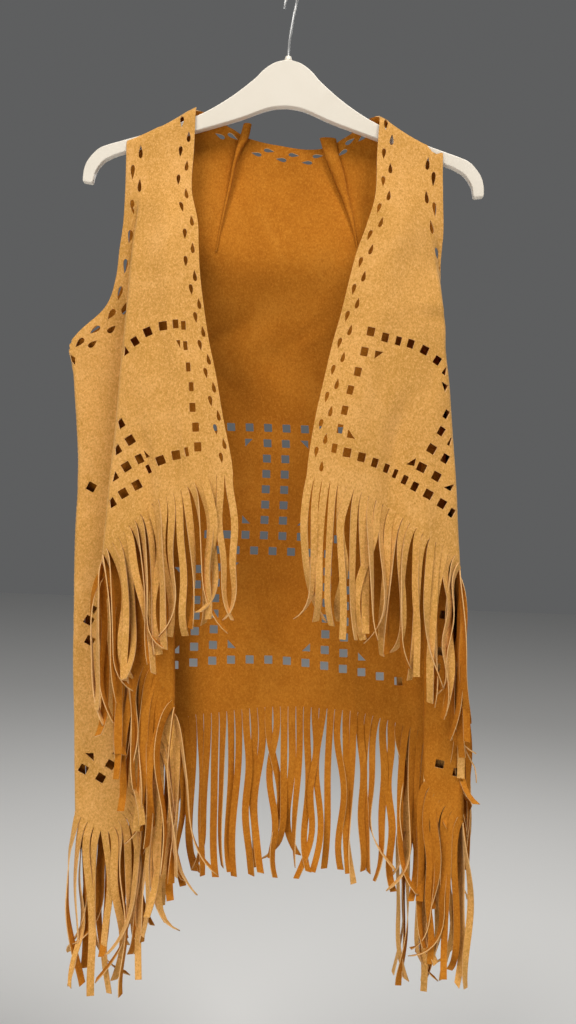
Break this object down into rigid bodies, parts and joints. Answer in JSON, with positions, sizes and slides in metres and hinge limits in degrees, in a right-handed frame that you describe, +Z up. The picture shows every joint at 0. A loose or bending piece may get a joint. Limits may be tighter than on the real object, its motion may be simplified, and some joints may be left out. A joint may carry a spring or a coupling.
{
  "type": "fringed open-front faux suede vest on its plastic clothes hanger",
  "caption": "Sleeveless open-front vest in perforated tan faux suede with a long cut fringe, pointed drop corners and neck darts, on a curved plastic hanger with a wire hook.",
  "frame": {"origin": "inside top of the hanger's hook, where the rail carries it", "axes": "+Z up along the hook towards the rail, -Y out of the vest's open front, +X towards the wearer's left"},
  "size_m": [0.4493, 0.0824, 1.0933],
  "materials": {
    "suede": "matt brushed nap",
    "suede_inside": "matt, deeper orange-brown",
    "hanger_plastic": "satin moulded",
    "hook_steel": "bright plated wire"
  },
  "bodies": {
    "root": {"hanger": "hanger_plastic", "hanger_collar": "hanger_plastic", "hook": "hook_steel", "front_right": "suede", "fringe_front_right": "suede", "front_left": "suede", "fringe_front_left": "suede", "back": "suede", "fringe_back": "suede", "dart_right": "suede_inside", "dart_left": "suede_inside"}
  },
  "joints": []
}
